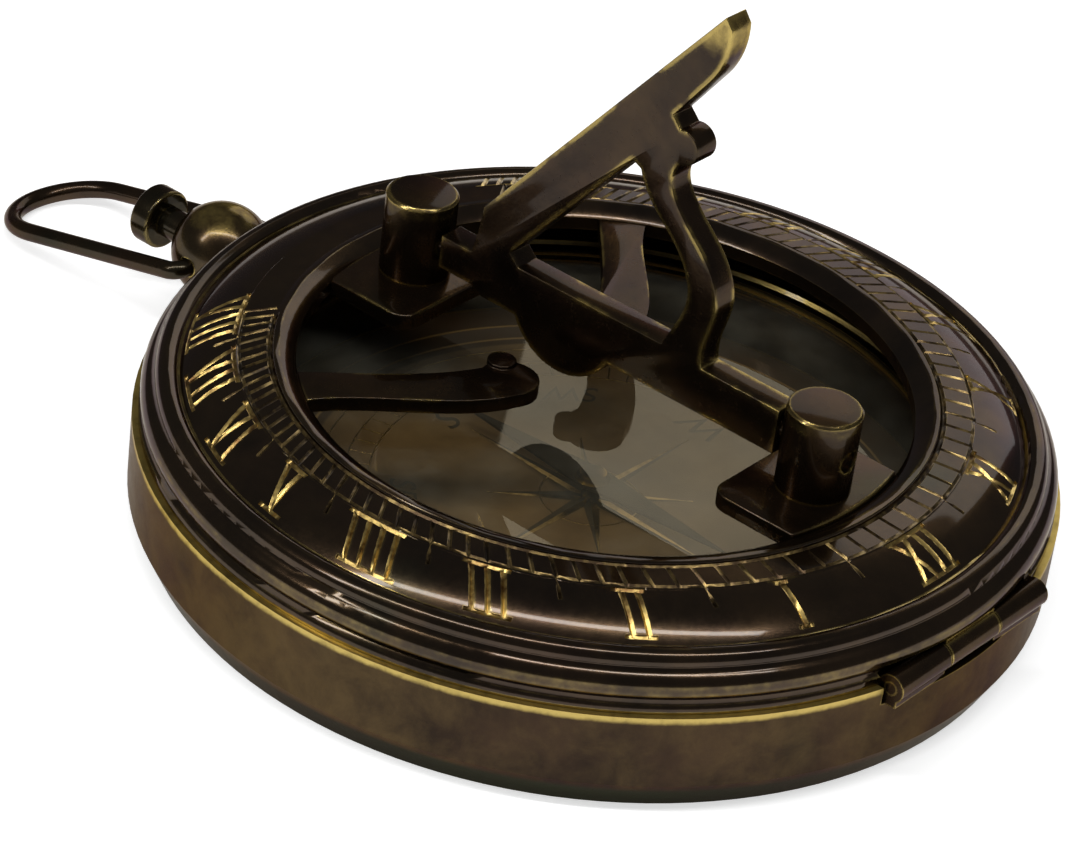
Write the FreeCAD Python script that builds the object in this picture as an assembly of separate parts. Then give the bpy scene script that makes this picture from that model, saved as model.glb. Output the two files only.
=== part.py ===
import FreeCAD, Part
import math
import os

# Pocket sundial: a turned brass case with a compass under glass, a hinged dial lid with a
# folding gnomon, and a pendant with a bow and a push button.
# Millimetres. The origin is the centre of the resting face and +Z points up.
# +Y is north, the hinge side. -Y is south, the pendant side. +X is the afternoon side.

Vector = FreeCAD.Vector
EAST = Vector(1, 0, 0)
NORTH = Vector(0, 1, 0)
UP = Vector(0, 0, 1)
ORIGIN = Vector(0, 0, 0)

# ---- case ----
case_radius = 38.0
band_top = 9.0
foot_inset = 1.3
foot_chamfer = 2.6
wall_thickness = 2.6
spigot_thickness = 0.8
spigot_height = 0.6
floor_thickness = 1.0
back_plate_thickness = 1.0
back_plate_radius = 35.0

# ---- compass ----
bowl_radius = 31.0
bowl_wall = 0.8
bowl_floor = 0.6
card_thickness = 0.3
glass_thickness = 1.2
glass_top = 9.2
glass_rest_width = 0.9
bezel_height = 0.75
bezel_width = 2.2
bezel_lip = 0.25
needle_half_length = 14.0
needle_half_width = 1.6
needle_thickness = 0.25
needle_height = 4.6
pivot_radius = 0.8
cap_radius = 1.5
cap_height = 0.7

# ---- lid ----
lid_gap = 0.05
lid_setback = 0.5
lid_wall = 1.0
opening_radius = 25.2
rim_radius = 26.9
ladder_inner_radius = 27.3
ladder_outer_radius = 29.9
bead_setback = 2.0
bead_half_width = 1.1
lid_crown = 6.2
numeral_drop = 2.1
lid_thickness = 1.7

# ---- tabs, pillars and arms ----
pillar_inset = 4.2
pillar_radius = 3.05
pillar_height = 7.3
tab_half_width = 6.8
tab_reach = 9.2
tab_thickness = 1.5
tab_corner = 1.6
arm_thickness = 1.3
arm_root_angle = 36.4
arm_root_spread = 4.8
arm_inner_x = 3.9
scroll_radius = 2.5
scroll_y = -5.0
curl_radius = 1.2

# ---- gnomon ----
gnomon_thickness = 2.4
gnomon_bar_half = 2.0
gnomon_latitude = 51.5
gnomon_tip_height = 32.2
gnomon_end_gap = 0.35
gnomon_neck_half = 1.5
gnomon_neck_length = 3.2
pivot_pin_radius = 0.9
pivot_pin_grip = 3.0

# ---- lid hinge ----
hinge_setback = 1.0
hinge_radius = 1.2
hinge_pin_radius = 0.55
knuckle_length = 6.4
knuckle_gap = 0.1
hinge_notch_margin = 0.35

# ---- pendant, button and bow ----
pendant_height = 6.5
ball_radius = 4.4
ball_gap = 0.2
neck_radius = 2.6
stem_radius = 1.4
button_radius = 2.7
button_thickness = 2.1
button_exposed = 2.2
button_travel = 1.0
stem_tip_radius = 0.5
stem_tip_length = 1.0
bow_wire_radius = 0.8
bow_gap = 1.2
bow_reach = 24.0
bow_pin_depth = 2.0

# ---- latch ----
latch_half_width = 2.4
latch_thickness = 0.6
latch_pin_height = 3.5
latch_pin_radius = 0.4
latch_barrel_radius = 0.85
latch_ear_width = 1.0
latch_face_gap = 0.3
latch_wall_gap = 1.2
hook_height = 0.5
lug_height = 0.5
lug_half_width = 3.0

# ---- clearances ----
running = 0.05
seat = 0.02
free = 0.3

# ---- worked-out places ----
wall_inner_radius = case_radius - wall_thickness
spigot_radius = wall_inner_radius + spigot_thickness
spigot_top = band_top + spigot_height
floor_top = back_plate_thickness + floor_thickness
lid_bottom = band_top + lid_gap
lid_radius = case_radius - lid_setback
lid_inner_radius = lid_radius - lid_wall
bead_crest_radius = lid_radius - bead_setback
numeral_outer_radius = bead_crest_radius - bead_half_width
ladder_top = lid_bottom + lid_crown
ring_underside = ladder_top - lid_thickness
numeral_edge_z = ladder_top - numeral_drop
bowl_inner_radius = bowl_radius - bowl_wall
card_bottom = floor_top + bowl_floor
card_top = card_bottom + card_thickness
glass_radius = bowl_inner_radius - 2 * running
glass_bottom = glass_top - glass_thickness
tab_top = ladder_top - 0.2
axis_z = tab_top + pillar_height / 2
hinge_y = case_radius - hinge_setback
hinge_z = band_top
notch_half_width = 1.5 * knuckle_length + knuckle_gap + hinge_notch_margin
notch_depth = hinge_radius + hinge_notch_margin
ball_y = -case_radius - ball_gap - ball_radius
bow_half_width = ball_radius + bow_gap
pillar_distance = opening_radius - pillar_inset
button_inner_y = ball_y - ball_radius - button_exposed
latch_outer_y = -wall_inner_radius + latch_wall_gap
latch_pin_y = latch_outer_y + latch_thickness / 2
lug_bottom = spigot_top + 0.1
hook_bottom = lug_bottom + lug_height + 0.1


def save(name, shape):
    shape.exportStep("parts/" + name + ".step")
    print(name, len(shape.Solids), "solid,", round(shape.Volume, 2), "mm3")


def turned(points):
    """A solid turned about Z from a closed outline of (radius, height) points."""
    wire = Part.makePolygon([Vector(r, 0, z) for r, z in points + points[:1]])
    return Part.Face(wire).revolve(ORIGIN, UP, 360)


def ring(inner, outer, bottom, top):
    return turned([(inner, bottom), (outer, bottom), (outer, top), (inner, top)])


def disc(radius, bottom, top):
    return Part.makeCylinder(radius, top - bottom, Vector(0, 0, bottom))


def block(x_range, y_range, z_range):
    size = [high - low for low, high in (x_range, y_range, z_range)]
    return Part.makeBox(*size, Vector(x_range[0], y_range[0], z_range[0]))


def rod_x(radius, x_range, y, z):
    return Part.makeCylinder(radius, x_range[1] - x_range[0], Vector(x_range[0], y, z), EAST)


def rod_y(radius, y_range, x, z):
    return Part.makeCylinder(radius, y_range[1] - y_range[0], Vector(x, y_range[0], z), NORTH)


def line(start, end):
    return Part.makeLine(start, end)


def arc(start, middle, end):
    return Part.Arc(start, middle, end).toShape()


def curve(points):
    spline = Part.BSplineCurve()
    spline.interpolate(points)
    return spline.toShape()


# ---- case ----
def case_drum():
    body = turned([
        (0, back_plate_thickness),
        (back_plate_radius + running, back_plate_thickness),
        (back_plate_radius + running, 0),
        (case_radius - foot_inset, 0),
        (case_radius, foot_chamfer),
        (case_radius, band_top),
        (spigot_radius, band_top),
        (spigot_radius, spigot_top),
        (wall_inner_radius, spigot_top),
        (wall_inner_radius, floor_top),
        (0, floor_top),
    ])
    notch = block(
        (-notch_half_width, notch_half_width),
        (hinge_y - hinge_radius - seat, case_radius + 1),
        (hinge_z - notch_depth, spigot_top + 1),
    )
    stem_hole = rod_y(stem_radius + running, (-case_radius - 1, -wall_inner_radius + 1), 0, pendant_height)
    return body.cut(notch).cut(stem_hole)


def case_knuckle(side):
    start = side * (knuckle_length / 2 + knuckle_gap)
    end = side * (1.5 * knuckle_length + knuckle_gap)
    x_range = (min(start, end), max(start, end))
    barrel = rod_x(hinge_radius, x_range, hinge_y, hinge_z)
    saddle = block(x_range, (hinge_y - 0.9, hinge_y + 0.7), (hinge_z - notch_depth, hinge_z))
    bore = rod_x(hinge_pin_radius, x_range, hinge_y, hinge_z)
    return barrel.fuse(saddle).cut(bore).removeSplitter()


def lid_knuckle():
    x_range = (-knuckle_length / 2, knuckle_length / 2)
    barrel = rod_x(hinge_radius, x_range, hinge_y, hinge_z)
    saddle = block(x_range, (hinge_y - 0.9, hinge_y + 0.3), (hinge_z, hinge_z + notch_depth))
    bore = rod_x(hinge_pin_radius + running, x_range, hinge_y, hinge_z)
    return barrel.fuse(saddle).cut(bore).removeSplitter()


def hinge_pin():
    reach = 1.5 * knuckle_length + knuckle_gap
    return rod_x(hinge_pin_radius, (-reach, reach), hinge_y, hinge_z)


# ---- compass ----
def compass_bowl():
    return turned([
        (0, floor_top),
        (bowl_radius, floor_top),
        (bowl_radius, glass_top + bezel_height),
        (bowl_inner_radius, glass_top + bezel_height),
        (bowl_inner_radius, card_bottom),
        (0, card_bottom),
    ])


def glass_rest():
    outer = bowl_inner_radius - running
    return ring(outer - glass_rest_width, outer, card_top, glass_bottom)


def glass_bezel():
    outer = bowl_inner_radius - running
    top = glass_top + bezel_height
    inner = outer - bezel_width
    return turned([
        (inner, glass_top),
        (outer, glass_top),
        (outer, top),
        (outer - 0.4 * bezel_width, top),
        (outer - 0.5 * bezel_width, top - 0.3),
        (outer - 0.85 * bezel_width, top - 0.3),
        (inner, glass_top + bezel_lip),
    ])


def needle_pivot():
    top = needle_height + needle_thickness
    return turned([
        (0, card_top),
        (pivot_radius, card_top),
        (pivot_radius, card_top + 0.4),
        (0.45, card_top + 0.8),
        (0.45, top - 0.1),
        (0, top + 0.2),
    ])


def compass_needle():
    hub = disc(cap_radius, needle_height, needle_height + needle_thickness)
    tips = [
        Vector(0, needle_half_length, needle_height),
        Vector(needle_half_width, 0, needle_height),
        Vector(0, -needle_half_length, needle_height),
        Vector(-needle_half_width, 0, needle_height),
    ]
    blade = Part.Face(Part.makePolygon(tips + tips[:1])).extrude(UP * needle_thickness)
    hole = disc(0.45 + running, needle_height - 1, needle_height + 1)
    return blade.fuse(hub).cut(hole).removeSplitter()


def needle_cap():
    bottom = needle_height + needle_thickness
    inner = 0.45 + 2 * running
    return turned([
        (inner, bottom),
        (cap_radius, bottom),
        (0.75 * cap_radius, bottom + 0.75 * cap_height),
        (0, bottom + cap_height),
        (0, bottom + 0.45 * cap_height),
        (inner, bottom + 0.3 * cap_height),
    ])


# ---- lid ----
def dial_ring():
    """The cast ring: wall, two outer beads, sloping numeral band, flat ladder and inner rim."""
    def at(radius, height):
        return Vector(radius, 0, height)

    wall_low = at(lid_radius, lid_bottom)
    wall_high = at(lid_radius, lid_bottom + 0.7)
    groove_low = at(lid_radius - 0.45, lid_bottom + 1.0)
    bead_low_mid = at(lid_radius - 0.05, lid_bottom + 1.95)
    bead_low_end = at(lid_radius - 0.7, numeral_edge_z - 0.95)
    crest_start = at(bead_crest_radius + 0.85, numeral_edge_z - 0.7)
    crest = at(bead_crest_radius, numeral_edge_z + 0.45)
    crest_end = at(numeral_outer_radius + 0.2, numeral_edge_z - 0.05)
    band_outer = at(numeral_outer_radius, numeral_edge_z - 0.05)
    band_middle = at((numeral_outer_radius + ladder_outer_radius) / 2, ladder_top - 0.35 * numeral_drop)
    band_inner = at(ladder_outer_radius + 0.15, ladder_top - 0.2)
    ladder_outer = at(ladder_outer_radius, ladder_top)
    ladder_inner = at(ladder_inner_radius, ladder_top + 0.12)
    rim_outer = at(rim_radius + 0.15, ladder_top + 0.35)
    rim_top = at(rim_radius - 0.4, ladder_top + 0.35)
    lip_top = at(opening_radius + 0.2, ladder_top - 0.35)
    lip = at(opening_radius, ladder_top - 0.55)
    lip_under = at(opening_radius, ring_underside)
    under_ladder = at(ladder_outer_radius - 0.4, ring_underside)
    under_band = at(numeral_outer_radius + 0.2, numeral_edge_z - 1.6)
    under_wall = at(lid_inner_radius, hook_bottom + hook_height + 0.1)
    wall_inner = at(lid_inner_radius, lid_bottom)

    edges = [
        line(wall_low, wall_high),
        line(wall_high, groove_low),
        arc(groove_low, bead_low_mid, bead_low_end),
        line(bead_low_end, crest_start),
        arc(crest_start, crest, crest_end),
        line(crest_end, band_outer),
        arc(band_outer, band_middle, band_inner),
        line(band_inner, ladder_outer),
        line(ladder_outer, ladder_inner),
        line(ladder_inner, rim_outer),
        line(rim_outer, rim_top),
        line(rim_top, lip_top),
        line(lip_top, lip),
        line(lip, lip_under),
        line(lip_under, under_ladder),
        line(under_ladder, under_band),
        line(under_band, under_wall),
        line(under_wall, wall_inner),
        line(wall_inner, wall_low),
    ]
    solid = Part.Face(Part.Wire(edges)).revolve(ORIGIN, UP, 360)
    notch = block(
        (-notch_half_width, notch_half_width),
        (hinge_y - hinge_radius - seat, lid_radius + 1),
        (lid_bottom - 1, hinge_z + notch_depth),
    )
    return solid.cut(notch)


def pillar_tab(side):
    """A flat plate that reaches in from the ring's opening and carries one pillar."""
    inner = opening_radius - tab_reach
    plate = block((-tab_half_width, tab_half_width), (inner, opening_radius), (tab_top - tab_thickness, tab_top))
    corners = [edge for edge in plate.Edges if is_inner_corner(edge, inner)]
    plate = plate.makeFillet(tab_corner, corners)
    plate = plate.common(disc(opening_radius - seat, 0, tab_top + 1))
    if side < 0:
        plate.rotate(ORIGIN, UP, 180)
    return plate


def is_inner_corner(edge, inner):
    low, high = edge.Vertexes[0].Point, edge.Vertexes[-1].Point
    upright = abs(low.z - high.z) > tab_thickness / 2
    return upright and abs(low.y - inner) < seat


def pillar(side):
    post = Part.makeCylinder(pillar_radius, pillar_height, Vector(0, side * pillar_distance, tab_top))
    post = post.makeChamfer(0.2, [post.Edges[0]])
    reach = pillar_radius + 1
    middle = side * pillar_distance
    return post.cut(rod_y(pivot_pin_radius + running, (middle - reach, middle + reach), 0, axis_z))


def scroll_arm(side):
    """A flat S-curved arm from the ring's opening to a round scroll beside the gnomon."""
    top = tab_top - 0.3
    bottom = top - arm_thickness
    root = opening_radius + 1.0
    low_angle = math.radians(-arm_root_angle - arm_root_spread)
    high_angle = math.radians(-arm_root_angle + arm_root_spread)
    scroll_x = arm_inner_x + scroll_radius

    def at(x, y):
        return Vector(side * x, y, bottom)

    low_root = at(root * math.cos(low_angle), root * math.sin(low_angle))
    high_root = at(root * math.cos(high_angle), root * math.sin(high_angle))
    low_tip = at(scroll_x + 0.4, scroll_y - scroll_radius + 0.1)
    high_tip = at(scroll_x + 0.4, scroll_y + scroll_radius - 0.1)
    low_side = curve([low_root, at(14.4, -12.5), at(10.2, -9.2), low_tip])
    high_side = curve([high_tip, at(10.2, -4.0), at(14.8, -7.8), high_root])
    edges = [low_side, line(low_tip, high_tip), high_side, line(high_root, low_root)]
    arm = Part.Face(Part.Wire(edges)).extrude(UP * arm_thickness)
    scroll = Part.makeCylinder(scroll_radius, arm_thickness, at(scroll_x, scroll_y))
    curl_y = scroll_y - scroll_radius + 0.6
    curl = Part.makeCylinder(curl_radius, arm_thickness + 0.3, at(arm_inner_x + curl_radius, curl_y))
    whole = arm.fuse([scroll, curl]).removeSplitter()
    return whole.common(disc(opening_radius - seat, 0, top + 1))


def lid_catch():
    """A small lug inside the lid's wall that the latch's hook reaches over."""
    inner_y = latch_outer_y - 2 * free - 0.1
    outer = disc(lid_inner_radius - seat, lug_bottom, lug_bottom + lug_height)
    slot = block((-lug_half_width, lug_half_width), (-lid_radius, inner_y), (lug_bottom, lug_bottom + lug_height))
    return outer.common(slot)


# ---- gnomon ----
def gnomon_outline():
    """The plate's outer edge in the north-south plane, as (north, height above the axis)."""
    bar_end = pillar_distance - pillar_radius - gnomon_end_gap
    half = gnomon_bar_half
    slope = math.tan(math.radians(gnomon_latitude))
    tip_y = 7.2
    style_low_y = -13.6
    style_low_h = gnomon_tip_height - (tip_y - style_low_y) * slope

    def at(y, h):
        return Vector(-gnomon_thickness / 2, y, axis_z + h)

    bar_low = at(bar_end, -half)
    bar_high = at(bar_end, half)
    foot_out = at(9.7, half)
    notch = at(3.6, gnomon_tip_height - 10.0)
    head_low = at(6.6, gnomon_tip_height - 5.8)
    tip_right = at(7.9, gnomon_tip_height - 0.9)
    tip = at(tip_y, gnomon_tip_height)
    style_low = at(style_low_y, style_low_h)
    neck_y = -bar_end + gnomon_neck_length
    neck_high = at(neck_y, gnomon_neck_half)
    bar_left_high = at(-bar_end, gnomon_neck_half)
    bar_left_low = at(-bar_end, -gnomon_neck_half)
    neck_low = at(neck_y + 0.4, -gnomon_neck_half)
    bar_left = at(neck_y + 1.6, -half - 0.1)
    lobe_left = at(-9.2, -half - 0.1)
    lobe_low = at(-5.2, -half - 3.0)
    lobe_right = at(0.6, -half)
    leg = curve([foot_out, at(9.7, 4.4), at(10.3, 7.4), at(8.8, 11.2), at(5.9, 14.1), at(4.4, 16.6), at(4.9, 18.4)])
    bump = arc(at(4.9, 18.4), at(6.4, 20.1), at(4.5, 21.3))
    edges = [
        line(bar_low, bar_high),
        line(bar_high, foot_out),
        leg,
        bump,
        line(at(4.5, 21.3), notch),
        line(notch, head_low),
        arc(head_low, at(7.7, gnomon_tip_height - 3.4), tip_right),
        line(tip_right, tip),
        line(tip, style_low),
        arc(style_low, at(neck_y + 0.45, 3.4), neck_high),
        line(neck_high, bar_left_high),
        line(bar_left_high, bar_left_low),
        line(bar_left_low, neck_low),
        line(neck_low, bar_left),
        line(bar_left, lobe_left),
        arc(lobe_left, lobe_low, lobe_right),
        line(lobe_right, bar_low),
    ]
    return Part.Wire(edges)


def gnomon_window():
    half = gnomon_bar_half
    slope = math.tan(math.radians(gnomon_latitude))

    def at(y, h):
        return Vector(-gnomon_thickness / 2, y, axis_z + h)

    apex_h = gnomon_tip_height - 15.4
    apex_left = at(0.4, apex_h)
    low_left = at(-10.4, apex_h - 10.8 * slope)
    corner = at(-9.4, half + 0.3)
    low_right = at(5.6, half + 0.4)
    apex_right = at(1.3, apex_h - 0.4)
    leg = curve([low_right, at(6.6, 4.6), at(7.4, 7.6), at(5.9, 11.0), at(3.0, 13.8), apex_right])
    edges = [
        line(apex_left, low_left),
        line(low_left, corner),
        line(corner, low_right),
        leg,
        line(apex_right, apex_left),
    ]
    return Part.Wire(edges)


def gnomon():
    thickness = EAST * gnomon_thickness
    plate = Part.Face(gnomon_outline()).extrude(thickness)
    window = Part.Face(gnomon_window()).extrude(thickness)
    plate = plate.cut(window)
    bar_end = pillar_distance - pillar_radius - gnomon_end_gap
    north_bore = rod_y(pivot_pin_radius, (bar_end - pivot_pin_grip, bar_end + 1), 0, axis_z)
    south_bore = rod_y(pivot_pin_radius, (-bar_end - 1, -bar_end + pivot_pin_grip), 0, axis_z)
    return plate.cut(north_bore).cut(south_bore)


def pivot_pin(side):
    bar_end = pillar_distance - pillar_radius - gnomon_end_gap
    inner = side * (bar_end - pivot_pin_grip)
    outer = side * (pillar_distance + pillar_radius - 0.5)
    return rod_y(pivot_pin_radius, (min(inner, outer), max(inner, outer)), 0, axis_z)


# ---- pendant, button and bow ----
def pendant_neck():
    neck = rod_y(neck_radius, (ball_y, -case_radius + foot_inset), 0, pendant_height)
    neck = neck.cut(disc(case_radius + seat, -1, band_top + 5))
    neck = neck.cut(Part.makeSphere(ball_radius + seat, Vector(0, ball_y, pendant_height)))
    bore = rod_y(stem_radius + running, (ball_y, 0), 0, pendant_height)
    return max(neck.cut(bore).Solids, key=lambda solid: solid.CenterOfMass.y)


def pendant_ball():
    """A ball turned about the stem's axis, with a bore for the stem and two for the bow's ends."""
    bore = stem_radius + running
    reach = math.sqrt(ball_radius ** 2 - bore ** 2)
    centre = Vector(0, ball_y, pendant_height)
    near_end = centre + Vector(0, reach, -bore)
    far_end = centre + Vector(0, -reach, -bore)
    outline = Part.Wire([arc(near_end, centre - UP * ball_radius, far_end), line(far_end, near_end)])
    ball = Part.Face(outline).revolve(centre, NORTH, 360)
    for side in (-1, 1):
        start = side * (ball_radius - bow_pin_depth - 0.2)
        end = side * (ball_radius + 1)
        ball = ball.cut(rod_x(bow_wire_radius + running, (min(start, end), max(start, end)), ball_y, pendant_height))
    return ball


def button_head():
    head = rod_y(button_radius, (button_inner_y - button_thickness, button_inner_y), 0, pendant_height)
    head = head.makeFillet(0.3, [edge for edge in head.Edges if len(edge.Vertexes) == 1])
    bore = rod_y(stem_radius - 0.4, (button_inner_y - button_thickness / 2, button_inner_y + 1), 0, pendant_height)
    return head.cut(bore)


def button_stem():
    tip_end = latch_outer_y - latch_face_gap
    shoulder = tip_end - stem_tip_length
    stem = rod_y(stem_radius, (button_inner_y, shoulder), 0, pendant_height)
    spigot = rod_y(stem_radius - 0.4, (button_inner_y - button_thickness / 2, button_inner_y), 0, pendant_height)
    tip = rod_y(stem_tip_radius, (shoulder, tip_end), 0, pendant_height)
    return stem.fuse([spigot, tip]).removeSplitter()


def bow_ring():
    """A round wire bent to a long loop, whose two inward ends turn in the ball."""
    pin_x = ball_radius - bow_pin_depth
    bend = bow_half_width - ball_radius - 0.1
    straight = bow_reach - bow_half_width

    def at(x, reach):
        return Vector(x, ball_y - reach, pendant_height)

    def corner(side):
        middle = bow_half_width - bend * (1 - math.sqrt(0.5))
        return arc(at(side * (bow_half_width - bend), 0), at(side * middle, bend * (1 - math.sqrt(0.5))),
                   at(side * bow_half_width, bend))

    edges = [
        line(at(-pin_x, 0), at(-bow_half_width + bend, 0)),
        corner(-1),
        line(at(-bow_half_width, bend), at(-bow_half_width, straight)),
        arc(at(-bow_half_width, straight), at(0, bow_reach), at(bow_half_width, straight)),
        line(at(bow_half_width, straight), at(bow_half_width, bend)),
        corner(1),
        line(at(bow_half_width - bend, 0), at(pin_x, 0)),
    ]
    path = Part.Wire(edges)
    section = Part.Wire(Part.makeCircle(bow_wire_radius, at(-pin_x, 0), EAST))
    loop = path.makePipeShell([section], True, True)
    droop = math.degrees(math.asin((pendant_height - bow_wire_radius - seat) / bow_reach))
    loop.rotate(Vector(0, ball_y, pendant_height), EAST, droop)
    return loop


# ---- latch ----
def latch_bracket():
    """A U-shaped bracket on the case's floor, whose two ears hold the latch's pin."""
    ear_start = latch_half_width + running * 4
    ear_end = ear_start + latch_ear_width
    low_y = latch_pin_y - 0.6
    base_top = latch_pin_height - latch_barrel_radius - free
    ear_top = latch_pin_height + 0.9
    outline = [
        (-ear_end, floor_top),
        (ear_end, floor_top),
        (ear_end, ear_top),
        (ear_start, ear_top),
        (ear_start, base_top),
        (-ear_start, base_top),
        (-ear_start, ear_top),
        (-ear_end, ear_top),
    ]
    wire = Part.makePolygon([Vector(x, low_y, z) for x, z in outline + outline[:1]])
    bracket = Part.Face(wire).extrude(NORTH * 1.5)
    return bracket.cut(rod_x(latch_pin_radius, (-ear_end - 1, ear_end + 1), latch_pin_y, latch_pin_height))


def latch_pin():
    reach = latch_half_width + running * 4 + latch_ear_width
    return rod_x(latch_pin_radius, (-reach, reach), latch_pin_y, latch_pin_height)


def latch_hook():
    x_range = (-latch_half_width, latch_half_width)
    y_range = (latch_outer_y, latch_outer_y + latch_thickness)
    top = hook_bottom + hook_height
    strip = block(x_range, y_range, (latch_pin_height, top))
    nose = block(x_range, (latch_outer_y - free - 0.05, latch_outer_y + latch_thickness), (hook_bottom, top))
    barrel = rod_x(latch_barrel_radius, x_range, latch_pin_y, latch_pin_height)
    bore = rod_x(latch_pin_radius + running, x_range, latch_pin_y, latch_pin_height)
    return strip.fuse([nose, barrel]).cut(bore).removeSplitter()


def build():
    os.makedirs("parts", exist_ok=True)
    save("case_drum", case_drum())
    save("back_plate", disc(back_plate_radius, 0, back_plate_thickness))
    save("case_knuckle_east", case_knuckle(1))
    save("case_knuckle_west", case_knuckle(-1))
    save("hinge_pin", hinge_pin())
    save("compass_bowl", compass_bowl())
    save("compass_card", disc(bowl_inner_radius - running, card_bottom, card_top))
    save("glass_rest", glass_rest())
    save("crystal", disc(glass_radius, glass_bottom, glass_top))
    save("glass_bezel", glass_bezel())
    save("needle_pivot", needle_pivot())
    save("compass_needle", compass_needle())
    save("needle_cap", needle_cap())
    save("dial_ring", dial_ring())
    save("lid_knuckle", lid_knuckle())
    save("lid_catch", lid_catch())
    save("north_tab", pillar_tab(1))
    save("south_tab", pillar_tab(-1))
    save("north_pillar", pillar(1))
    save("south_pillar", pillar(-1))
    save("east_arm", scroll_arm(1))
    save("west_arm", scroll_arm(-1))
    save("gnomon", gnomon())
    save("north_pivot_pin", pivot_pin(1))
    save("south_pivot_pin", pivot_pin(-1))
    save("pendant_neck", pendant_neck())
    save("pendant_ball", pendant_ball())
    save("button_head", button_head())
    save("button_stem", button_stem())
    save("bow_ring", bow_ring())
    save("latch_bracket", latch_bracket())
    save("latch_pin", latch_pin())
    save("latch_hook", latch_hook())


build()
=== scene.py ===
import math

import bmesh
import bpy
from mathutils import Matrix, Vector


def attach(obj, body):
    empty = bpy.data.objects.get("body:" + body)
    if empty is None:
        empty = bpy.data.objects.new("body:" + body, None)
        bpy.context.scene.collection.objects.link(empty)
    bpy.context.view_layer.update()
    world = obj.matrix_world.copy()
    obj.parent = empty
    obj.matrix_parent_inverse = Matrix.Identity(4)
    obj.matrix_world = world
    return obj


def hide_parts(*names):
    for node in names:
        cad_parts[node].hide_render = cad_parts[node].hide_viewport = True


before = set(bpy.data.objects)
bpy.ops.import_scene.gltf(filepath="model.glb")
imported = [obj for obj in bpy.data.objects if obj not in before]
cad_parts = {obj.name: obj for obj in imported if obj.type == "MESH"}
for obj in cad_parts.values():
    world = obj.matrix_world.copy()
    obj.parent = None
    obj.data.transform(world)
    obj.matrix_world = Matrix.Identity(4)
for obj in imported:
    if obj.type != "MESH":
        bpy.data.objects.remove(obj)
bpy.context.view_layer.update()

mm = 0.001
scene = bpy.context.scene


# Shader writing: a socket that can be added, multiplied and compared
class Sock:
    def __init__(self, tree, out):
        self.tree = tree
        self.out = out

    def math(self, operation, other=None, swap=False):
        node = self.tree.nodes.new("ShaderNodeMath")
        node.operation = operation
        values = [self] if other is None else ([other, self] if swap else [self, other])
        for slot, value in zip(node.inputs, values):
            plug(self.tree, slot, value)
        return Sock(self.tree, node.outputs[0])

    def __add__(self, other):
        return self.math("ADD", other)

    def __sub__(self, other):
        return self.math("SUBTRACT", other)

    def __rsub__(self, other):
        return self.math("SUBTRACT", other, swap=True)

    def __mul__(self, other):
        return self.math("MULTIPLY", other)

    __radd__ = __add__
    __rmul__ = __mul__

    def clamp(self):
        node = self.tree.nodes.new("ShaderNodeClamp")
        plug(self.tree, node.inputs[0], self)
        return Sock(self.tree, node.outputs[0])

    def step(self, low, high):  # 0 below low, 1 above high, smooth between
        node = self.tree.nodes.new("ShaderNodeMapRange")
        node.interpolation_type = "SMOOTHSTEP"
        plug(self.tree, node.inputs["Value"], self)
        node.inputs["From Min"].default_value = low
        node.inputs["From Max"].default_value = high
        return Sock(self.tree, node.outputs[0])

    def near(self, centre, width):  # 1 at the centre, 0 a width away
        return 1 - (self - centre).math("ABSOLUTE").step(0, width)


def plug(tree, slot, value):
    if isinstance(value, Sock):
        tree.links.new(value.out, slot)
    else:
        slot.default_value = value


class Shader:
    def __init__(self, name):
        self.material = bpy.data.materials.new(name)
        self.material.use_nodes = True
        self.tree = self.material.node_tree
        self.tree.nodes.clear()
        self.output = self.tree.nodes.new("ShaderNodeOutputMaterial")
        self.place = self.node("ShaderNodeTexCoord", out="Object")

    def node(self, kind, settings=None, out=0, **values):
        made = self.tree.nodes.new(kind)
        for key, value in (settings or {}).items():
            setattr(made, key, value)
        for key, value in values.items():
            plug(self.tree, made.inputs[key.replace("_", " ")], value)
        return Sock(self.tree, made.outputs[out])

    def noise(self, size, detail=3.0, distortion=0.0, rough=0.55):
        return self.node(
            "ShaderNodeTexNoise", Vector=self.place, Scale=1 / size, Detail=detail,
            Distortion=distortion, Roughness=rough,
        )

    def axes(self):
        split = self.tree.nodes.new("ShaderNodeSeparateXYZ")
        plug(self.tree, split.inputs[0], self.place)
        return [Sock(self.tree, split.outputs[i]) for i in range(3)]

    def mix(self, factor, first, second):
        made = self.tree.nodes.new("ShaderNodeMix")
        made.data_type = "RGBA"
        plug(self.tree, made.inputs[0], factor)
        plug(self.tree, made.inputs[6], colour(first))
        plug(self.tree, made.inputs[7], colour(second))
        return Sock(self.tree, made.outputs[2])

    def edges(self, radius):  # 1 on sharp edges, 0 on open faces
        bent = self.node("ShaderNodeBevel", {"samples": 4}, Radius=radius)
        straight = self.node("ShaderNodeNewGeometry", out="Normal")
        dot = self.node("ShaderNodeVectorMath", {"operation": "DOT_PRODUCT"}, out="Value")
        plug(self.tree, dot.out.node.inputs[0], bent)
        plug(self.tree, dot.out.node.inputs[1], straight)
        return (1 - dot).step(0.01, 0.16)

    def bump(self, height, strength, distance):
        return self.node("ShaderNodeBump", Height=height, Strength=strength, Distance=distance)

    def finish(self, shader):
        self.tree.links.new(shader.out, self.output.inputs[0])
        return self.material


def colour(value):
    return (*value, 1.0) if isinstance(value, tuple) and len(value) == 3 else value


# Finishes
bronze = {
    "darkBrown": (0.020, 0.013, 0.009),
    "redBrown": (0.046, 0.027, 0.016),
    "olive": (0.098, 0.064, 0.027),
    "gold": (0.50, 0.37, 0.11),
    "green": (0.018, 0.024, 0.014),
}


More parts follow.
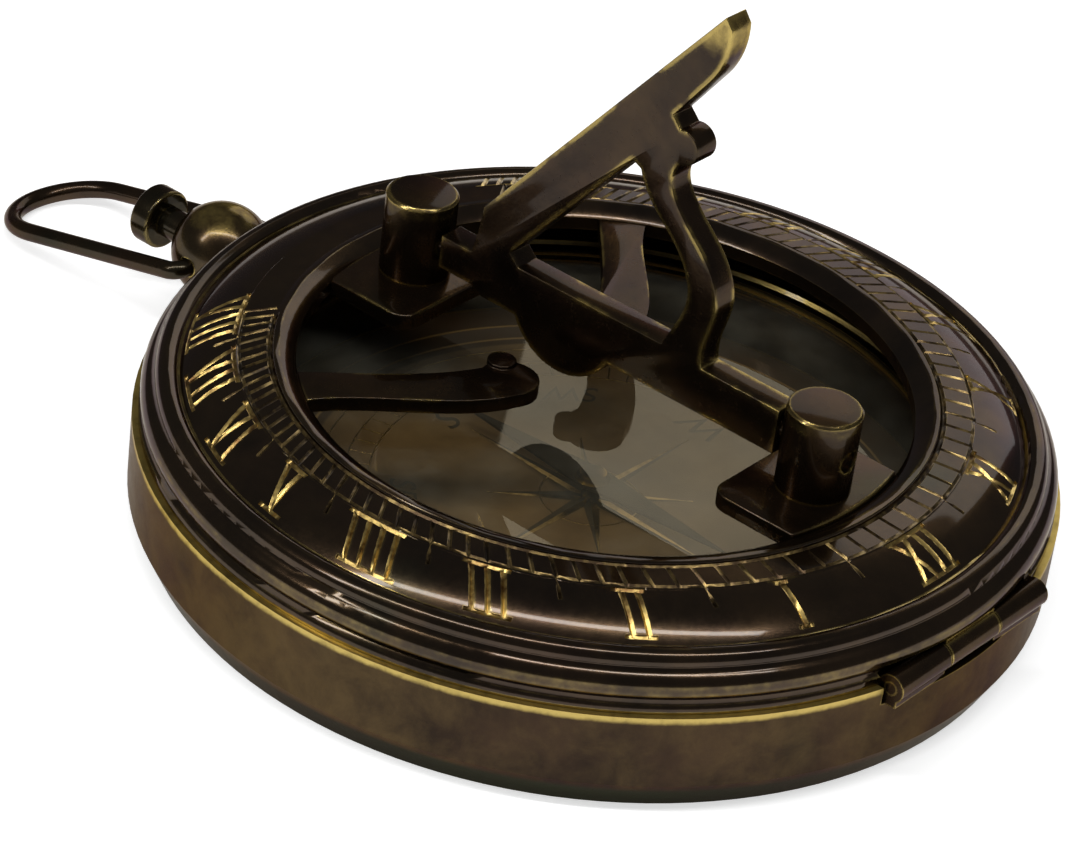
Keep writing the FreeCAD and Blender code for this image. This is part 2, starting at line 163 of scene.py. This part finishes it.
patinaLook = {  # sizes of the patterns in millimetres
    "cloud": 9,
    "grain": 1.3,
    "fine": 0.22,
    "wideMottle": 22,
    "smallMottle": 4,
    "stain": 15,
    "stainShare": 0.55,
    "rubbedSpots": 8,
    "footBlend": 0.9,
    "metallic": 0.92,
    "edgeTint": (0.45, 0.38, 0.30, 1),
    "coatRoughness": 0.06,
    "bumpDepth": 0.1,
}


def agedBronze(
    name, wear=0.5, olive=0.25, shine=0.20, coat=0.2, edge=0.25, bands=(), rings=(), cast=0.0, patchy=0.0, foot=None,
):
    # Dark bronze patina, rubbed to gold on edges, on bands at set heights and on rings at set radii; on the bowl and
    # bezel the gold bands are partly rubbed wear and partly painted highlight. Bands and rings are (place, width,
    # strength) in millimetres; below the foot height it turns dark green.
    s = Shader(name)
    x, y, z = s.axes()
    cloud = s.noise(patinaLook["cloud"] * mm, 4.0, 0.4)
    grain = s.noise(patinaLook["grain"] * mm, 5.0, 0.2, 0.65)
    fine = s.noise(patinaLook["fine"] * mm, 3.0)
    base = s.mix(cloud.step(0.35, 0.75), bronze["darkBrown"], bronze["redBrown"])
    mottle = s.noise(patinaLook["wideMottle"] * mm, 3.0, 0.3) * 0.5
    mottle = mottle + s.noise(patinaLook["smallMottle"] * mm, 5.0, 0.3, 0.7) * 0.5
    base = s.mix((mottle.step(0.35, 0.68) * olive).clamp(), base, bronze["olive"])
    stain = s.noise(patinaLook["stain"] * mm, 2.0).step(0.60, 0.80) * patinaLook["stainShare"]
    base = s.mix(stain, base, bronze["green"])
    if foot is not None:
        base = s.mix(1 - z.step(foot * mm, (foot + patinaLook["footBlend"]) * mm), base, bronze["green"])
    spots = s.noise(patinaLook["rubbedSpots"] * mm, 3.0, 0.6).step(0.42, 0.64)
    rubAndHighlight = s.edges(edge * mm) * wear * 1.4 * (spots * patchy + (1 - patchy))
    # Gold bands at set heights: rubbed wear, and on the bowl and bezel also painted highlight.
    for height, width, strength in bands:
        rubAndHighlight = rubAndHighlight + z.near(height * mm, width * mm) * strength
    if rings:
        radius = (x * x + y * y).math("SQRT")
        for ringRadius, width, strength in rings:
            rubAndHighlight = rubAndHighlight + radius.near(ringRadius * mm, width * mm) * strength
    wornAndHighlight = (rubAndHighlight * (grain * 1.1 + cloud * 0.9)).step(0.30, 0.95)
    tint = s.mix(wornAndHighlight, base, bronze["gold"])
    rough = (fine * 0.10 + grain * 0.16 + (shine - 0.08)) - wornAndHighlight * 0.04
    bumpy = s.bump(grain * (0.4 + cast) + fine * 0.25, 0.12 + cast * 0.5, patinaLook["bumpDepth"] * mm)
    skin = s.node(
        "ShaderNodeBsdfPrincipled", Base_Color=tint, Metallic=patinaLook["metallic"], Roughness=rough.clamp(),
        Normal=bumpy, Coat_Weight=coat, Coat_Roughness=patinaLook["coatRoughness"],
        Specular_Tint=patinaLook["edgeTint"],
    )
    return s.finish(skin)


def engraved(name, dull, bright, low, high):
    # The floor of a cut: dull patina in patches, rubbed bright elsewhere.
    s = Shader(name)
    patches = s.noise(2.2 * mm, 4.0) * 0.6 + s.noise(0.5 * mm, 3.0) * 0.4
    tint = s.mix(patches.step(low, high), dull, bright)
    return s.finish(s.node("ShaderNodeBsdfPrincipled", Base_Color=tint, Metallic=1.0, Roughness=0.32))


cardFace = {
    "stained": (0.135, 0.096, 0.052),
    "clean": (0.235, 0.180, 0.105),
    "rim": (0.050, 0.030, 0.018),
    # Painted highlight: this gold ring colour, with the radii and width further down, stands for light caught on the
    # ledges of the bowl.
    "paintedHighlightTint": (0.34, 0.25, 0.11),
    "stainSize": 6,
    "rimStart": 23.3,
    "rimFull": 23.7,
    "paintedHighlightRadii": (24.4, 26.4),
    "paintedHighlightWidth": 0.22,
    "roughness": 0.6,
}


def cardPrintAndPaintedHighlights():
    # The card's print and stains, with painted highlight rings near its edge.
    s = Shader("cardPrintAndPaintedHighlights")
    cloud = s.noise(cardFace["stainSize"] * mm, 4.0)
    x, y, z = s.axes()
    radius = (x * x + y * y).math("SQRT")
    tint = s.mix(cloud.step(0.3, 0.75), cardFace["stained"], cardFace["clean"])
    tint = s.mix(radius.step(cardFace["rimStart"] * mm, cardFace["rimFull"] * mm), tint, cardFace["rim"])
    # Painted highlights: gold rings that stand for light on the bowl's ledges, not print.
    for ring in cardFace["paintedHighlightRadii"]:
        line = radius.near(ring * mm, cardFace["paintedHighlightWidth"] * mm)
        tint = s.mix(line, tint, cardFace["paintedHighlightTint"])
    return s.finish(s.node("ShaderNodeBsdfPrincipled", Base_Color=tint, Roughness=cardFace["roughness"]))


window = {
    "ior": 1.52,
    "clear": (0.85, 0.80, 0.70, 1),
    "mirror": (0.58, 0.51, 0.37, 1),
    "mirrorShare": 1.15,
    "dust": (0.5, 0.48, 0.38, 1),
    "dustSize": 5,
    "dustLeast": 0.02,
    "dustMore": 0.05,
}


def windowGlass():
    s = Shader("windowGlass")
    haze = s.noise(window["dustSize"] * mm, 4.0).step(0.3, 0.8)
    front = 1 - s.node("ShaderNodeNewGeometry", out="Backfacing")
    fresnel = s.node("ShaderNodeFresnel", IOR=window["ior"]) * front  # nothing mirrors inside the glass
    clear = s.node("ShaderNodeBsdfTransparent", Color=window["clear"])
    mirror = s.node("ShaderNodeBsdfGlossy", Color=window["mirror"], Roughness=0.02)
    dust = s.node("ShaderNodeBsdfDiffuse", Color=window["dust"])
    body = s.tree.nodes.new("ShaderNodeMixShader")
    plug(s.tree, body.inputs[0], haze * window["dustMore"] + window["dustLeast"])
    s.tree.links.new(clear.out, body.inputs[1])
    s.tree.links.new(dust.out, body.inputs[2])
    top = s.tree.nodes.new("ShaderNodeMixShader")
    plug(s.tree, top.inputs[0], (fresnel * window["mirrorShare"]).clamp())
    s.tree.links.new(body.outputs[0], top.inputs[1])
    s.tree.links.new(mirror.out, top.inputs[2])
    return s.finish(Sock(s.tree, top.outputs[0]))


def plainPaint(name, tint, rough=0.4, metallic=0.0):
    s = Shader(name)
    grain = s.noise(1.5 * mm, 4.0)
    shade = s.mix(grain.step(0.3, 0.8), tint, tuple(c * 0.6 for c in tint))
    return s.finish(s.node("ShaderNodeBsdfPrincipled", Base_Color=shade, Roughness=rough, Metallic=metallic))


# Mesh helpers
def newPiece(name, mesh):
    piece = bpy.data.objects.new(name, mesh)
    scene.collection.objects.link(piece)
    return piece


def mergedCopy(node, name):
    # A copy of a CAD node with its loose triangles joined and its flat faces whole.
    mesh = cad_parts[node].data.copy()
    work = bmesh.new()
    work.from_mesh(mesh)
    bmesh.ops.remove_doubles(work, verts=work.verts, dist=1e-6)
    bmesh.ops.dissolve_limit(work, angle_limit=math.radians(0.6), verts=work.verts, edges=work.edges)
    work.to_mesh(mesh)
    work.free()
    return newPiece(name, mesh)


def smooth(piece, angle=35):
    piece.data.polygons.foreach_set("use_smooth", [True] * len(piece.data.polygons))
    piece.data.set_sharp_from_angle(angle=math.radians(angle))


def baked(piece):
    # The piece as its modifiers leave it, as a plain mesh.
    graph = bpy.context.evaluated_depsgraph_get()
    mesh = bpy.data.meshes.new_from_object(piece.evaluated_get(graph))
    piece.modifiers.clear()
    old = piece.data
    piece.data = mesh
    bpy.data.meshes.remove(old)
    return piece


def rounded(node, name, width, material, body):
    # A CAD node's copy with softly rounded edges, which stands for it.
    piece = mergedCopy(node, name)
    bevel = piece.modifiers.new("edges", "BEVEL")
    bevel.width = width * mm
    bevel.segments = 3
    bevel.limit_method = "ANGLE"
    bevel.angle_limit = math.radians(40)
    baked(piece)
    smooth(piece, 50)
    piece.data.materials.clear()
    piece.data.materials.append(material)
    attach(piece, body)
    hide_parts(node)
    return piece


def paint(node, material):
    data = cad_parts[node].data
    data.materials.clear()
    data.materials.append(material)


# Geometry nodes: a line on a surface becomes a groove cutter or a raised wire
def lineTree(name):
    tree = bpy.data.node_groups.new(name, "GeometryNodeTree")
    face = tree.interface
    face.new_socket("Geometry", in_out="INPUT", socket_type="NodeSocketGeometry")
    wide = face.new_socket("Width", in_out="INPUT", socket_type="NodeSocketFloat")
    deep = face.new_socket("Depth", in_out="INPUT", socket_type="NodeSocketFloat")
    tint = face.new_socket("Material", in_out="INPUT", socket_type="NodeSocketMaterial")
    face.new_socket("Geometry", in_out="OUTPUT", socket_type="NodeSocketGeometry")
    add = tree.nodes.new
    start, end = add("NodeGroupInput"), add("NodeGroupOutput")
    toCurve = add("GeometryNodeMeshToCurve")
    normal = add("GeometryNodeSetCurveNormal")
    radius = add("GeometryNodeSetCurveRadius")
    share = add("GeometryNodeInputNamedAttribute")
    sweep = add("GeometryNodeCurveToMesh")
    realize = add("GeometryNodeRealizeInstances")
    setMaterial = add("GeometryNodeSetMaterial")
    normal.mode = "Z_UP"
    share.data_type = "FLOAT"
    share.inputs["Name"].default_value = "share"
    section = add("GeometryNodeCurvePrimitiveQuadrilateral")
    turned = add("GeometryNodeTransform")
    turned.inputs["Rotation"].default_value = (0, 0, math.radians(45))
    scaled = add("ShaderNodeCombineXYZ")
    link = tree.links.new
    link(start.outputs["Geometry"], toCurve.inputs[0])
    link(toCurve.outputs[0], normal.inputs[0])
    link(normal.outputs[0], radius.inputs[0])
    link(share.outputs[0], radius.inputs["Radius"])
    link(radius.outputs[0], sweep.inputs["Curve"])
    stretch = add("GeometryNodeTransform")
    section.inputs["Width"].default_value = math.sqrt(0.5)
    section.inputs["Height"].default_value = math.sqrt(0.5)
    link(section.outputs[0], turned.inputs[0])
    link(turned.outputs[0], stretch.inputs[0])
    link(start.outputs["Width"], scaled.inputs[0])
    link(start.outputs["Depth"], scaled.inputs[1])
    scaled.inputs[2].default_value = 1
    link(scaled.outputs[0], stretch.inputs["Scale"])
    link(stretch.outputs[0], sweep.inputs["Profile Curve"])
    sweep.inputs["Fill Caps"].default_value = True
    link(sweep.outputs[0], realize.inputs[0])
    link(realize.outputs[0], setMaterial.inputs[0])
    link(start.outputs["Material"], setMaterial.inputs["Material"])
    link(setMaterial.outputs[0], end.inputs[0])
    return tree, {"wide": wide.identifier, "deep": deep.identifier, "tint": tint.identifier}


def sweptLines(name, lines, width, depth, material):
    # Diamond-section bars along lines, each a (points, share of the width) pair.
    tree, sockets = lineTree(name + "Tree")
    verts, edges, shares = [], [], []
    for points, share in lines:
        closed = (points[0] - points[-1]).length < 1e-9
        points = points[:-1] if closed else points
        first = len(verts)
        verts.extend(points)
        shares.extend([share] * len(points))
        edges.extend((first + i, first + i + 1) for i in range(len(points) - 1))
        if closed:
            edges.append((first + len(points) - 1, first))
    mesh = bpy.data.meshes.new(name)
    mesh.from_pydata(verts, edges, [])
    mesh.attributes.new("share", "FLOAT", "POINT").data.foreach_set("value", shares)
    piece = newPiece(name, mesh)
    nodes = piece.modifiers.new("lines", "NODES")
    nodes.node_group = tree
    nodes[sockets["wide"]] = width
    nodes[sockets["deep"]] = depth
    nodes[sockets["tint"]] = material
    baked(piece)
    return piece


# Camera, light and floor
view = {
    "azimuth": 126.4,
    "elevation": 32.8,
    "roll": 7.47,
    "distance": 346 * mm,
    "lens": 139.3,
    "right": -3.8 * mm,
    "up": 8.6 * mm,
}


def makeCamera():
    turn, lift = math.radians(view["azimuth"]), math.radians(view["elevation"])
    back = Vector((math.sin(turn) * math.cos(lift), -math.cos(turn) * math.cos(lift), math.sin(lift)))
    right = Vector((math.cos(turn), math.sin(turn), 0))
    up = back.cross(right)
    roll = Matrix.Rotation(math.radians(view["roll"]), 3, back)
    right, up = roll @ right, roll @ up
    data = bpy.data.cameras.new("camera")
    data.lens = view["lens"]
    data.sensor_width = 36
    data.clip_start = 0.01
    camera = bpy.data.objects.new("camera", data)
    scene.collection.objects.link(camera)
    spot = back * view["distance"] + right * view["right"] + up * view["up"]
    camera.matrix_world = Matrix.Translation(spot) @ Matrix((right, up, back)).transposed().to_4x4()
    scene.camera = camera


lights = {  # place and size in millimetres, strength in watts
    "backdrop": {"from": (-647, -207, 300), "size": (450, 420), "power": 0.95},
    "overhead": {"from": (100, 75, 430), "size": (520, 34), "power": 1.1},
    "glint": {"from": (300, -160, 330), "size": (45, 160), "power": 0.40},
    "world": 0.12,
    "floorGlow": 0.62,
}


def makeLights():
    for name in ("backdrop", "overhead", "glint"):
        values = lights[name]
        data = bpy.data.lights.new(name, "AREA")
        data.shape = "RECTANGLE"
        data.size, data.size_y = (side * mm for side in values["size"])
        data.energy = values["power"]
        lamp = bpy.data.objects.new(name, data)
        scene.collection.objects.link(lamp)
        spot = Vector(values["from"]) * mm
        aim = (spot - Vector((0, 0, 12 * mm))).to_track_quat("Z", "Y")
        lamp.matrix_world = Matrix.Translation(spot) @ aim.to_matrix().to_4x4()
    world = bpy.data.worlds.new("studio")
    world.use_nodes = True
    world.node_tree.nodes["Background"].inputs[0].default_value = (1, 1, 1, 1)
    world.node_tree.nodes["Background"].inputs[1].default_value = lights["world"]
    scene.world = world
    scene.view_settings.view_transform = "Standard"


def makeFloor():
    reach, drop = 3.0, -0.1 * mm
    corners = [(-reach, -reach, drop), (reach, -reach, drop), (reach, reach, drop), (-reach, reach, drop)]
    mesh = bpy.data.meshes.new("floor")
    mesh.from_pydata(corners, [], [(0, 1, 2, 3)])
    floor = newPiece("floor", mesh)
    s = Shader("paleFloor")
    pale = s.node(
        "ShaderNodeBsdfPrincipled", Base_Color=(0.9, 0.9, 0.9, 1), Roughness=0.9,
        Emission_Color=(1, 1, 1, 1), Emission_Strength=lights["floorGlow"],
    )
    mesh.materials.append(s.finish(pale))


# The dial's engraving
dial = {
    "hourTurns": [0, 24.5, 47.5, 68, 86, 103.5, 118.5, 132.5, 147],
    "afternoon": ["XII", "I", "II", "III", "IIII", "V", "VI", "VII", "VIII"],
    "morning": ["XII", "XI", "X", "IX", "VIII", "VII", "VI", "V", "IIII"],
    "ladderInner": 27.45,
    "ladderOuter": 29.85,
    "railWidth": 1.2,
    "railSteps": 150,
    "ticksPerHour": 6,
    "numeralTop": 30.2,
    "numeralFoot": 33.95,
    "letterWidths": {"I": 1.2, "V": 2.3, "X": 2.4},
    "letterGap": 0.12,
    "serif": 0.3,
    "halfTickMiddle": 30.9,
    "halfTickEnd": 31.8,
    "markRadius": 29.9,
    "lineFoot": 15.0,
    "bandCrown": 15.25,
    "bandDrop": 2.1,
    "bandInner": 30.05,
    "bandEdge": 34.4,
    "rimRise": 0.12,
    "rimRun": 2.6,
    "thick": 0.52,
    "thin": 0.19,
    "depth": 0.40,
    "ladderWidth": 0.36,
    "ladderDepth": 0.32,
}


def circleThrough(a, b, c):
    (ax, ay), (bx, by), (cx, cy) = a, b, c
    d = 2 * (ax * (by - cy) + bx * (cy - ay) + cx * (ay - by))
    ux = ((ax * ax + ay * ay) * (by - cy) + (bx * bx + by * by) * (cy - ay) + (cx * cx + cy * cy) * (ay - by)) / d
    uy = ((ax * ax + ay * ay) * (cx - bx) + (bx * bx + by * by) * (ax - cx) + (cx * cx + cy * cy) * (bx - ax)) / d
    return ux, uy, math.hypot(ax - ux, ay - uy)


def bandCircle():
    # The numeral band's arc in the upright plane: centre radius, centre height and size.
    crown, edge = dial["bandCrown"], dial["bandEdge"]
    return circleThrough(
        (edge, crown - dial["bandDrop"] - 0.05),
        ((edge + dial["markRadius"]) / 2, crown - 0.35 * dial["bandDrop"]),
        (dial["bandInner"], crown - 0.2),
    )


def dialHeight(radius):
    # Height of the dial's top at a radius, in millimetres.
    flat = dial["markRadius"]
    if radius <= flat:
        return dial["bandCrown"] + dial["rimRise"] * (flat - radius) / dial["rimRun"]
    centreR, centreZ, size = bandCircle()
    return centreZ + math.sqrt(size * size - (radius - centreR) ** 2)


def onDial(turn, radius, side=0.0):
    # A point on the dial's top, beside the hour line that leaves the shadow's foot for this turn.
    angle = math.radians(turn)
    mark = Vector((math.sin(angle), math.cos(angle))) * dial["markRadius"]
    along = (mark - Vector((0, -dial["lineFoot"]))).normalized()
    start = mark + Vector((along.y, -along.x)) * side
    reach = start.dot(along)
    point = start + along * (math.sqrt(reach * reach - start.length_squared + radius * radius) - reach)
    return Vector((point.x, point.y, dialHeight(radius))) * mm


def onCircle(turn, radius):
    # A point on the dial's top at a plain angle from north towards east.
    angle = math.radians(turn)
    return Vector((radius * math.sin(angle), radius * math.cos(angle), dialHeight(radius))) * mm


def stroke(turn, start, end, share, pieces=4):
    # A straight stroke beside an hour line; start and end are (sideways, radius) in millimetres.
    points = []
    for i in range(pieces + 1):
        part = i / pieces
        side = start[0] + (end[0] - start[0]) * part
        points.append(onDial(turn, start[1] + (end[1] - start[1]) * part, side))
    return points, share


def numeralStrokes(text, turn):
    # Strokes of a Roman numeral that is read from outside, its top towards the centre.
    top, foot = dial["numeralTop"], dial["numeralFoot"]
    thick, thin = 1.0, dial["thin"] / dial["thick"]
    widths = dial["letterWidths"]
    total = sum(widths[letter] for letter in text)
    cursor = total / 2
    made = []
    for letter in text:
        width = widths[letter]
        left, right = cursor - dial["letterGap"], cursor - width + dial["letterGap"]
        wideLeft, wideRight = left - dial["serif"], right + dial["serif"]
        centre = (left + right) / 2
        if letter == "I":
            made.append(stroke(turn, (centre, top), (centre, foot), thick))
        if letter == "V":
            made.append(stroke(turn, (wideLeft, top), (centre, foot), thick))
            made.append(stroke(turn, (wideRight, top), (centre, foot), thin))
        if letter == "X":
            made.append(stroke(turn, (wideLeft, top), (wideRight, foot), thick))
            made.append(stroke(turn, (wideRight, top), (wideLeft, foot), thin))
        cursor -= width
    half = total / 2
    made.append(stroke(turn, (half, top), (-half, top), thin, 6))
    made.append(stroke(turn, (half, foot), (-half, foot), thin, 6))
    return made


def engravingLines():
    inner, outer = dial["ladderInner"], dial["ladderOuter"]
    turns = dial["hourTurns"]
    last = turns[-1]
    rails, ticks, numerals = [], [], []
    for radius in (inner, outer):
        steps = dial["railSteps"]
        spread = [-last + 2 * last * i / steps for i in range(steps + 1)]
        rails.append(([onCircle(turn, radius) for turn in spread], dial["railWidth"]))
    for side in (-1, 1):
        for hour in range(len(turns) - 1):
            for part in range(dial["ticksPerHour"]):
                turn = side * (turns[hour] + (turns[hour + 1] - turns[hour]) * part / dial["ticksPerHour"])
                if side == 1 or hour + part > 0:  # noon is cut once
                    ticks.append(([onDial(turn, inner), onDial(turn, outer)], 1.0))
                if part * 2 == dial["ticksPerHour"]:
                    halfHour = (outer, dial["halfTickMiddle"], dial["halfTickEnd"])
                    ticks.append(([onDial(turn, radius) for radius in halfHour], 1.0))
        ticks.append(([onDial(side * last, inner), onDial(side * last, outer)], 1.0))
    for turn, text in zip(turns, dial["afternoon"]):
        numerals.extend(numeralStrokes(text, turn))
    for turn, text in list(zip(turns, dial["morning"]))[1:]:
        numerals.extend(numeralStrokes(text, -turn))
    return rails + ticks, numerals


def keepTurnedNormals(ring):
    # The cut ring's open faces shade like the turned shape, so no cut shows beyond its own edge.
    mesh = ring.data
    centreR, centreZ, size = bandCircle()
    lowest = 12.9  # millimetres, just under the hour band's outer edge
    normals = [tuple(n.vector) for n in mesh.corner_normals]
    for face in mesh.polygons:
        if face.normal.z < -0.2 and len(face.vertices) > 4:  # wide flat faces below stay flat
            for loop in face.loop_indices:
                normals[loop] = tuple(face.normal)
        if face.material_index != 0 or face.normal.z < 0.2:
            continue
        middle = math.hypot(face.center.x, face.center.y) / mm
        for loop in face.loop_indices:
            spot = mesh.vertices[mesh.loops[loop].vertex_index].co / mm
            radius = math.hypot(spot.x, spot.y)
            if spot.z < lowest:
                continue
            if dial["bandInner"] + 0.01 < middle < dial["bandEdge"] - 0.05:
                outward, rise = radius - centreR, spot.z - centreZ
            elif dial["ladderInner"] - 0.1 < middle < dial["markRadius"] - 0.02:
                outward, rise = dial["rimRise"] / dial["rimRun"], 1.0
            else:
                continue
            normals[loop] = Vector((spot.x / radius * outward, spot.y / radius * outward, rise)).normalized()
    mesh.normals_split_custom_set(normals)


def makeDialRing(material, fine, deep):
    ring = mergedCopy("dial_ring", "engravedRing")
    ring.data.materials.clear()
    for each in (material, fine, deep):
        ring.data.materials.append(each)
    ladder, numerals = engravingLines()
    cuts = (
        ("ladderCutter", ladder, dial["ladderWidth"], dial["ladderDepth"], fine),
        ("numeralCutter", numerals, dial["thick"], dial["depth"], deep),
    )
    for name, lines, width, depth, tint in cuts:
        cutter = sweptLines(name, lines, width * mm, depth * mm, tint)
        cut = ring.modifiers.new(name, "BOOLEAN")
        cut.operation = "DIFFERENCE"
        cut.solver = "EXACT"
        cut.use_self = True
        cut.material_mode = "TRANSFER"
        cut.object = cutter
        baked(ring)
        bpy.data.objects.remove(cutter)
        print("engraved", name, len(ring.data.polygons), "faces")
    smooth(ring, 30)
    keepTurnedNormals(ring)
    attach(ring, "lid")
    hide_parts("dial_ring")


# The compass card's print
rose = {
    "height": 2.9,
    "longPoint": 13.0,
    "shortPoint": 8.6,
    "waist": 1.7,
    "hub": 0.9,
    "circles": [(4.2, 0.8), (18.4, 1.0), (20.4, 1.0), (22.6, 1.4)],  # radius and share of the line's width
    "tickInner": 18.4,
    "tickOuter": 20.4,
    "tickStep": 5,
    "lineWidth": 0.14,
    "lineDepth": 0.03,
    "letterRadius": 15.6,
    "letterSize": 3.9,
    "letters": {"N": 0, "NE": 45, "E": 90, "SE": 135, "S": 180, "SW": 225, "W": 270, "NW": 315},
}


def onCard(turn, radius, lift=0.0):
    angle = math.radians(turn)
    return Vector((radius * math.sin(angle), radius * math.cos(angle), rose["height"] + lift)) * mm


def makeCardPrint(gold, dark):
    lines = []
    for radius, share in rose["circles"]:
        lines.append(([onCard(4 * i, radius) for i in range(91)], share))
    for turn in range(0, 360, rose["tickStep"]):
        lines.append(([onCard(turn, rose["tickInner"]), onCard(turn, rose["tickOuter"])], 1.0))
    for turn in range(0, 360, 45):
        reach = rose["longPoint"] if turn % 90 == 0 else rose["shortPoint"]
        lines.append(([onCard(turn, rose["hub"]), onCard(turn, reach)], 0.8))
    printed = sweptLines("cardLines", lines, rose["lineWidth"] * mm, rose["lineDepth"] * mm, gold)
    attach(printed, "case")
    verts, faces, tints = [], [], []
    for turn in range(0, 360, 45):
        reach = rose["longPoint"] if turn % 90 == 0 else rose["shortPoint"]
        lift = 0.02 if turn % 90 == 0 else 0.012
        for side in (-1, 1):
            first = len(verts)
            waist = onCard(turn + side * 22.5, rose["waist"], lift)
            verts.extend([onCard(turn, 0.0, lift), waist, onCard(turn, reach, lift)])
            faces.append((first, first + 1, first + 2) if side < 0 else (first, first + 2, first + 1))
            tints.append(0 if side < 0 else 1)
    mesh = bpy.data.meshes.new("cardStar")
    mesh.from_pydata(verts, [], faces)
    mesh.materials.append(gold)
    mesh.materials.append(dark)
    mesh.polygons.foreach_set("material_index", tints)
    star = newPiece("cardStar", mesh)
    if mesh.polygons[0].normal.z < 0:
        mesh.flip_normals()
    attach(star, "case")
    for text, turn in rose["letters"].items():
        writing = bpy.data.curves.new("cardLetter" + text, "FONT")
        writing.body = text
        writing.size = rose["letterSize"] * (0.8 if len(text) > 1 else 1.0) * mm
        writing.extrude = 0.01 * mm
        writing.align_x = "CENTER"
        writing.align_y = "CENTER"
        writing.shear = 0.25
        letter = bpy.data.objects.new("cardLetter" + text, writing)
        scene.collection.objects.link(letter)
        graph = bpy.context.evaluated_depsgraph_get()
        mesh = bpy.data.meshes.new_from_object(letter.evaluated_get(graph))
        place = Matrix.Translation(onCard(turn, rose["letterRadius"], 0.012))
        mesh.transform(place @ Matrix.Rotation(math.radians(180 - turn), 4, "Z"))
        bpy.data.objects.remove(letter)
        mesh.materials.clear()
        mesh.materials.append(dark)
        piece = newPiece("cardLetter" + text, mesh)
        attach(piece, "case")


# Making
makeCamera()
makeLights()
makeFloor()
print("camera, light and floor made")

casePatina = agedBronze("patina")
ringPatina = agedBronze(
    "ringPatina", wear=0.35, shine=0.15, coat=0.35, bands=[(9.1, 0.25, 0.6)],
    rings=[(35.5, 0.5, 0.35), (34.45, 0.25, 0.5), (26.6, 0.35, 0.4), (37.4, 0.2, 0.4)],
)
bandPatina = agedBronze(
    "bandPatina", wear=0.3, olive=0.72, shine=0.34, coat=0.06, foot=1.6,
    bands=[(8.9, 0.9, 0.85), (6.2, 3.0, 0.20)],
)
castPatina = agedBronze(
    "castPatina", wear=1.9, cast=0.3, edge=0.9, patchy=0.85, bands=[(49.5, 5.0, 0.60), (26.0, 3.0, 0.20)],
)
tabPatina = agedBronze("tabPatina", wear=0.9, cast=0.5, edge=0.5, patchy=0.9)
pillarPatina = agedBronze(
    "pillarPatina", wear=1.4, edge=0.45, patchy=0.55, bands=[(21.6, 1.8, 0.42), (15.6, 1.6, 0.28)],
)
# Bowl and bezel: the gold bands at their top edges are partly rubbed wear and partly painted highlight that stands
# for light caught on these ledges.
bowlPatinaAndPaintedHighlights = agedBronze(
    "bowlPatinaAndPaintedHighlights", wear=1.2, olive=0.7, shine=0.30, edge=0.5, bands=[(9.9, 0.35, 0.6), (7.6, 0.5, 0.5)],
)
ballPatina = agedBronze("ballPatina", wear=0.6, olive=0.7, bands=[(10.6, 2.4, 0.50)])
wornBrass = agedBronze("wornBrass", wear=1.0, olive=0.5, edge=0.5)
fineCut = engraved("fineCut", dull=(0.05, 0.032, 0.018), bright=(0.30, 0.21, 0.08), low=0.40, high=0.66)
deepCut = engraved("deepCut", dull=(0.14, 0.075, 0.028), bright=(0.62, 0.45, 0.15), low=0.36, high=0.62)
cardGold = engraved("cardGold", dull=(0.20, 0.15, 0.06), bright=(0.62, 0.50, 0.24), low=0.3, high=0.6)
cardDark = plainPaint("cardDark", (0.05, 0.045, 0.035), rough=0.6)
card = cardPrintAndPaintedHighlights()
glass = windowGlass()
steel = plainPaint("blueSteel", (0.030, 0.030, 0.034), rough=0.35, metallic=0.9)
needleBlack = plainPaint("needleBlack", (0.008, 0.007, 0.007), rough=0.65)
print("finishes made")

makeDialRing(ringPatina, fineCut, deepCut)
print("dial ring engraved")
makeCardPrint(cardGold, cardDark)
print("compass card printed")

edgeWidths = {"gnomon": 0.55, "pillar": 0.12, "tab": 0.2, "arm": 0.3, "button": 0.1}  # millimetres
rounded("gnomon", "shadowPlate", edgeWidths["gnomon"], castPatina, "gnomon")
for side in ("north", "south"):
    rounded(side + "_pillar", side + "Pillar", edgeWidths["pillar"], pillarPatina, "lid")
    rounded(side + "_tab", side + "Tab", edgeWidths["tab"], tabPatina, "lid")
for side in ("east", "west"):
    rounded(side + "_arm", side + "Arm", edgeWidths["arm"], tabPatina, "lid")
rounded("button_head", "buttonHead", edgeWidths["button"], wornBrass, "button")
print("castings rounded")

for node in ("case_drum", "back_plate"):
    paint(node, bandPatina)
for node in (
    "case_knuckle_east", "case_knuckle_west", "hinge_pin", "pendant_neck", "button_stem", "bow_ring",
    "lid_catch", "latch_bracket", "north_pivot_pin", "south_pivot_pin",
):
    paint(node, casePatina)
for node in ("compass_bowl", "glass_rest", "glass_bezel"):
    paint(node, bowlPatinaAndPaintedHighlights)
paint("pendant_ball", ballPatina)
paint("compass_needle", needleBlack)
for node in ("latch_hook", "latch_pin"):
    paint(node, steel)
for node in ("needle_pivot", "needle_cap", "lid_knuckle"):
    paint(node, wornBrass)
paint("compass_card", card)
paint("crystal", glass)
print("nodes painted")
